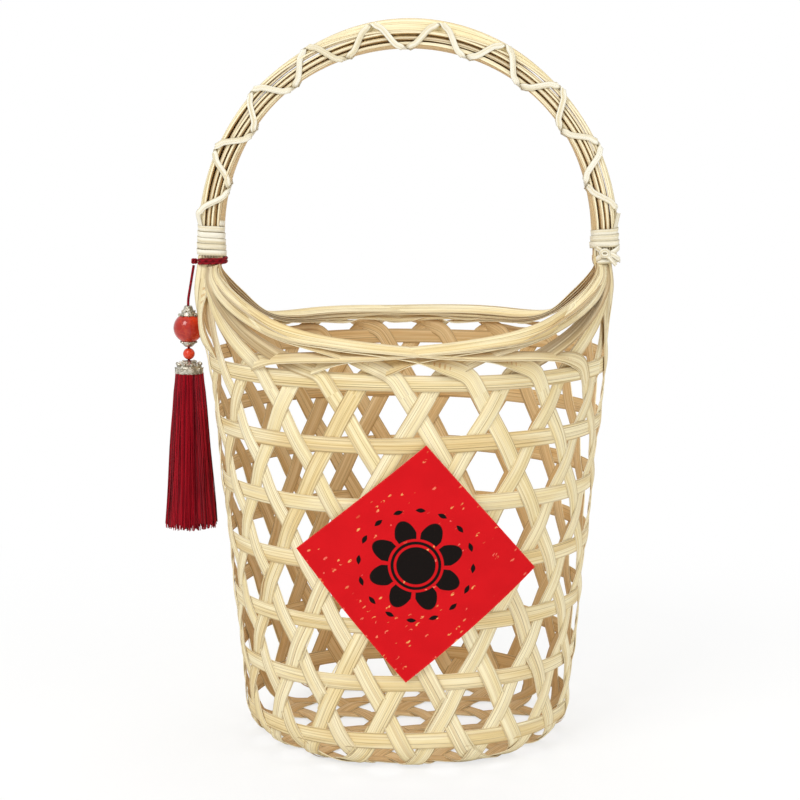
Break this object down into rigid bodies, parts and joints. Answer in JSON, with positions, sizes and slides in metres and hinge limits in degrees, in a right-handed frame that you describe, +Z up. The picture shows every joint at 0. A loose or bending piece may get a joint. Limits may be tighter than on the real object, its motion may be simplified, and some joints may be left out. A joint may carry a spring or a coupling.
{
  "type": "bamboo gift basket",
  "caption": "Round open-weave bamboo basket with a bound arch handle, a hanging silk tassel with beads, and a square card on the front.",
  "frame": {"origin": "centre of the underside of the floor, without the hanging tassel, on the surface that the basket stands on", "axes": "+Z up, the card faces -Y, and the handle's arch lies in the XZ plane with the tassel at -X"},
  "size_m": [0.224, 0.2006, 0.3472],
  "materials": {
    "bamboo": "split bamboo strip, pale cream outer skin with fine lengthwise grain, tan inner face",
    "rim": "split bamboo rim strip, pale cream",
    "cane": "flat pale cane strip, satin",
    "cord": "thin twisted dark red cord",
    "silk": "crimson silk threads",
    "silver": "antique silver-coloured stamped metal",
    "coral": "glossy orange-red bead",
    "card": "red card with small gold flecks and a black printed medallion"
  },
  "bodies": {
    "basket": {"weave_strip_1_1": "bamboo", "weave_strip_1_2": "bamboo", "weave_strip_1_3": "bamboo", "weave_strip_1_4": "bamboo", "weave_strip_1_5": "bamboo", "weave_strip_1_6": "bamboo", "weave_strip_2_1": "bamboo", "weave_strip_2_2": "bamboo", "weave_strip_2_3": "bamboo", "weave_strip_2_4": "bamboo", "weave_strip_2_5": "bamboo", "weave_strip_2_6": "bamboo", "weave_strip_3_1": "bamboo", "weave_strip_3_2": "bamboo", "weave_strip_3_3": "bamboo", "weave_strip_3_4": "bamboo", "weave_strip_3_5": "bamboo", "weave_strip_3_6": "bamboo", "hoop_1": "bamboo", "hoop_2": "bamboo", "hoop_3": "bamboo", "hoop_4": "bamboo", "hoop_5": "bamboo", "hoop_6": "bamboo", "hoop_7": "bamboo", "rim_outer": "rim", "rim_inner": "rim", "handle_strip_1": "bamboo", "handle_strip_2": "bamboo", "handle_strip_3": "bamboo", "handle_strip_4": "bamboo", "handle_strip_5": "bamboo", "handle_strip_6": "bamboo", "handle_strip_7": "bamboo", "handle_strip_8": "bamboo", "lashing_under": "cane", "lashing_over": "cane", "binding_left": "cane", "binding_right": "cane", "tassel_cord_ring": "cord", "greeting_card": "card"},
    "knot": {"tassel_knot": "cord"},
    "tassel_line": {"tassel_cord": "cord", "bead_cap": "silver", "bead_collar": "silver"},
    "large_bead": {"coral_bead": "coral"},
    "lower_bead": {"small_bead": "coral"},
    "silk": {"tassel_bell": "silver", "silk_tassel": "silk"}
  },
  "joints": [
    {"name": "tassel_swing_out", "type": "hinge", "parent": "basket", "child": "knot", "pos_m": [-0.10455, 0.0045, 0.23185], "axis": [0, 1, 0], "range_deg": [0, 75]},
    {"name": "tassel_swing_side", "type": "hinge", "parent": "knot", "child": "tassel_line", "pos_m": [-0.10455, 0.0045, 0.23185], "axis": [1, 0, 0], "range_deg": [-35, 35]},
    {"name": "large_bead_spin", "type": "hinge", "parent": "tassel_line", "child": "large_bead", "pos_m": [-0.1079, 0.0045, 0.199], "axis": [0, 0, 1], "continuous": true},
    {"name": "lower_bead_spin", "type": "hinge", "parent": "tassel_line", "child": "lower_bead", "pos_m": [-0.1079, 0.0045, 0.1862], "axis": [0, 0, 1], "continuous": true},
    {"name": "silk_twist", "type": "hinge", "parent": "tassel_line", "child": "silk", "pos_m": [-0.1079, 0.0045, 0.14], "axis": [0, 0, 1], "continuous": true}
  ]
}
